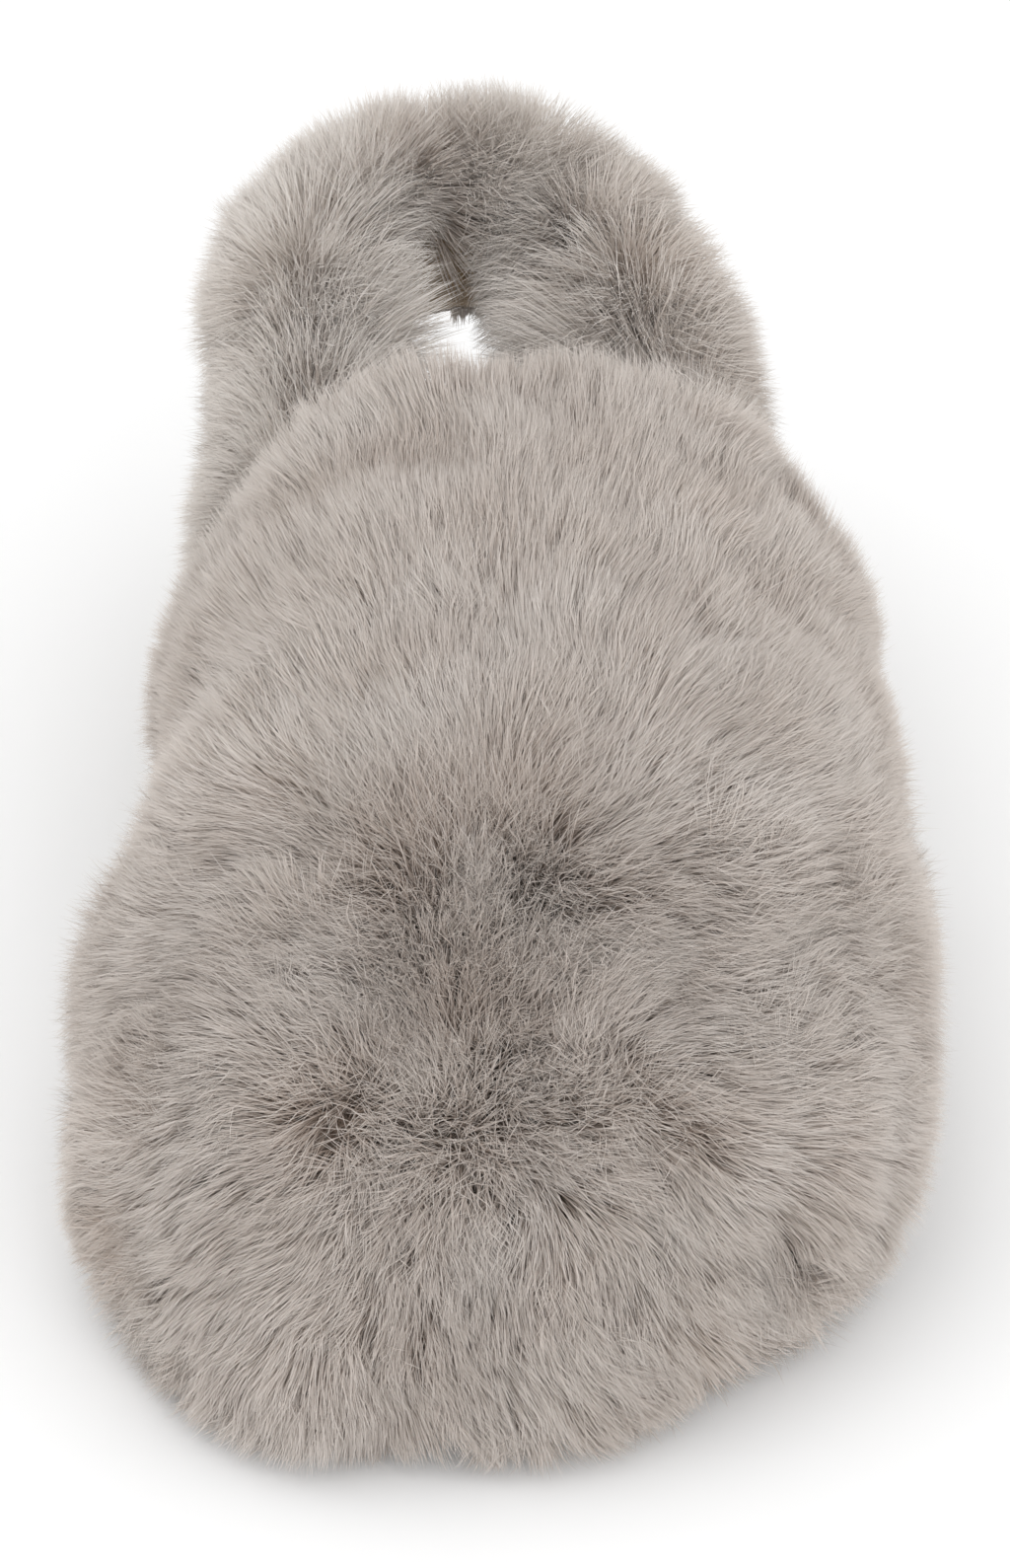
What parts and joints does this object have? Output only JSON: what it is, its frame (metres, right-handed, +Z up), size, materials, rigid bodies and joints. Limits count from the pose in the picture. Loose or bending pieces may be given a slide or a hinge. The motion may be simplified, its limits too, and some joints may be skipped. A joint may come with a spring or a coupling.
{
  "type": "fluffy house slipper",
  "caption": "Left-foot house slipper in taupe long-pile faux fur, closed at the toe and open at the heel, with a thick fur heel strap that swings at its two sewn ends.",
  "frame": {"origin": "centre of the slipper's outer box at floor level", "axes": "+Z up, +Y towards the heel, -Y towards the toe, +X on the lateral side"},
  "size_m": [0.1391, 0.2797, 0.1025],
  "materials": {
    "long_pile": "long combed faux fur",
    "footbed_pile": "short dense plush",
    "tan_lining": "brushed suede-like fabric",
    "rubber_sole": "matt moulded rubber",
    "midsole_foam": "fine closed-cell foam",
    "cushion_foam": "open-cell foam",
    "board": "pressed fibre board",
    "elastic": "ribbed woven elastic",
    "tape": "woven tape",
    "thread": "twisted polyester thread",
    "label": "blank woven satin"
  },
  "bodies": {
    "slipper": {"outsole": "rubber_sole", "midsole": "midsole_foam", "foxing_band": "tan_lining", "insole_board": "board", "footbed_foam": "cushion_foam", "footbed_plush": "footbed_pile", "vamp_fur": "long_pile", "vamp_foam": "cushion_foam", "toe_puff": "board", "vamp_lining": "tan_lining", "throat_binding": "tape", "strap_anchor_lateral": "tape", "strap_anchor_medial": "tape", "bar_tack_lateral": "thread", "bar_tack_medial": "thread", "care_label": "label"},
    "heel_strap": {"strap_fur": "long_pile", "strap_foam": "cushion_foam", "strap_elastic": "elastic", "strap_lining": "tan_lining"}
  },
  "joints": [
    {"name": "strap_swing", "type": "hinge", "parent": "slipper", "child": "heel_strap", "pos_m": [0, 0.03363, 0.044], "axis": [1, 0, 0], "range_deg": [-15, 45]}
  ]
}
